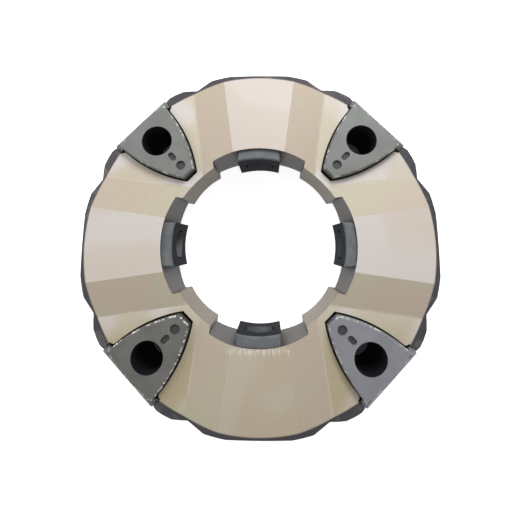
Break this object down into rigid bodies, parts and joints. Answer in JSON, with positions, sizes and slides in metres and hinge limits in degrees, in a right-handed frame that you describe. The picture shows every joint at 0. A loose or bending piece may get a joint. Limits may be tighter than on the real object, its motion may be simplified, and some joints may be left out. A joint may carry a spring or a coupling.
{
  "type": "flexible disc coupling",
  "caption": "Flexible disc coupling: a moulded elastomer ring with metal inserts for axial flywheel bolts and for radial hub bolts round an open centre.",
  "frame": {"origin": "on the coupling's axis, in the plane of the axial inserts' flange-side faces", "axes": "+Z along the coupling's axis, away from the flange; +X through radial insert 1, +Y through radial insert 2; the axial inserts lie at 45 degrees between them"},
  "size_m": [0.2006, 0.2006, 0.045],
  "materials": {
    "elastomer": "matt moulded polyester elastomer, pale tan",
    "cast_aluminium": "die-cast aluminium, dull grey, fine grain"
  },
  "bodies": {
    "root": {"elastic_ring": "elastomer", "axial_insert_1": "cast_aluminium", "axial_insert_2": "cast_aluminium", "axial_insert_3": "cast_aluminium", "axial_insert_4": "cast_aluminium", "radial_insert_1": "cast_aluminium", "radial_insert_2": "cast_aluminium", "radial_insert_3": "cast_aluminium", "radial_insert_4": "cast_aluminium"}
  },
  "joints": []
}
